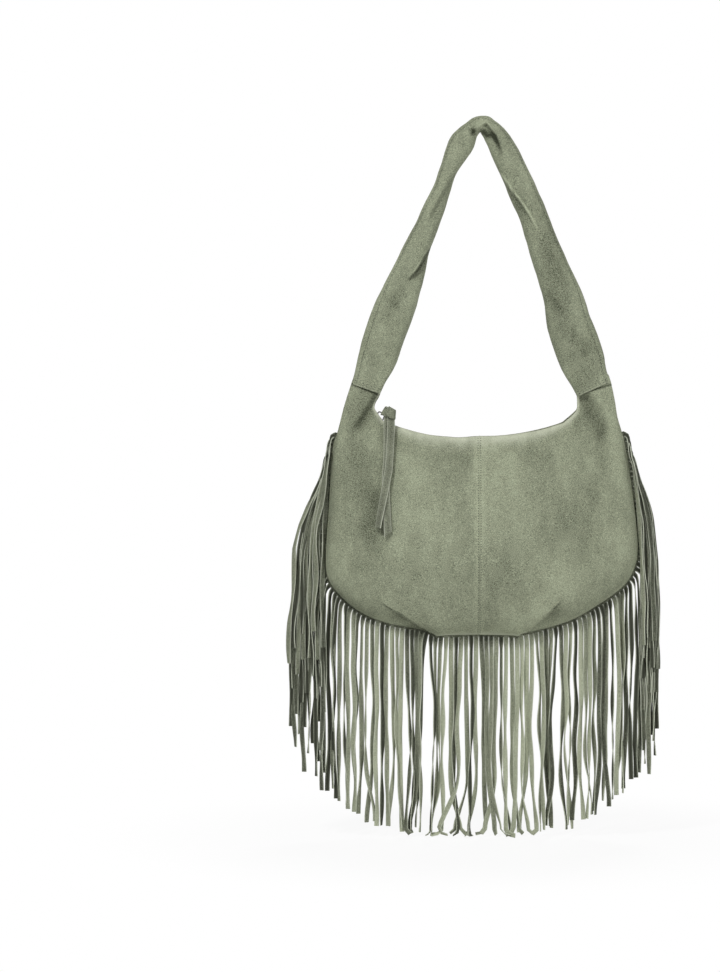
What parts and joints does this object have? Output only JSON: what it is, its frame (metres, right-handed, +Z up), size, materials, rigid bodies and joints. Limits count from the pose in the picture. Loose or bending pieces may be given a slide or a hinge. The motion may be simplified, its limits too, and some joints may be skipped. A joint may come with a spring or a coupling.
{
  "type": "fringed shoulder bag",
  "caption": "Soft suede shoulder bag with a wide flat strap, a curved top zip with a thong pull, and long cut fringe hanging from its side and bottom seams.",
  "frame": {"origin": "the point under the strap's top bend where a hook or shoulder carries the bag", "axes": "+Z up; the front, with the thong pull, faces -Y; the shut zip's slider is at -X"},
  "size_m": [0.4612, 0.0806, 0.8605],
  "materials": {
    "suede": "napped suede, grey green",
    "fringe_suede": "cut suede, grey green",
    "lining": "plain woven cotton",
    "zip_tape": "woven tape",
    "zip_teeth": "moulded coil",
    "zip_metal": "dark plated"
  },
  "bodies": {
    "bag": {"front_panel_left": "suede", "front_panel_right": "suede", "back_panel_left": "suede", "back_panel_right": "suede", "shoulder_strap": "suede", "fringe_bottom": "fringe_suede", "fringe_side_left": "fringe_suede", "fringe_side_right": "fringe_suede", "lining_front": "lining", "lining_back": "lining", "zip_tape_front": "zip_tape", "zip_tape_back": "zip_tape", "zip_teeth_front": "zip_teeth", "zip_teeth_back": "zip_teeth", "zip_top_stop_front": "zip_metal", "zip_top_stop_back": "zip_metal", "zip_bottom_stop": "zip_metal"},
    "slider": {"zip_slider": "zip_metal"},
    "thong": {"zip_pull_thong": "fringe_suede"}
  },
  "joints": [
    {"name": "slider_travel", "type": "hinge", "parent": "bag", "child": "slider", "pos_m": [0, 0, -0.064], "axis": [0, -1, 0], "range_deg": [0, 42], "deforming": ["zip_tape_front", "zip_tape_back", "zip_teeth_front", "zip_teeth_back"]},
    {"name": "thong_swing", "type": "hinge", "parent": "slider", "child": "thong", "pos_m": [-0.11647, 0, -0.33444], "axis": [-0.9184, 0, 0.3955], "range_deg": [0, 100]}
  ]
}
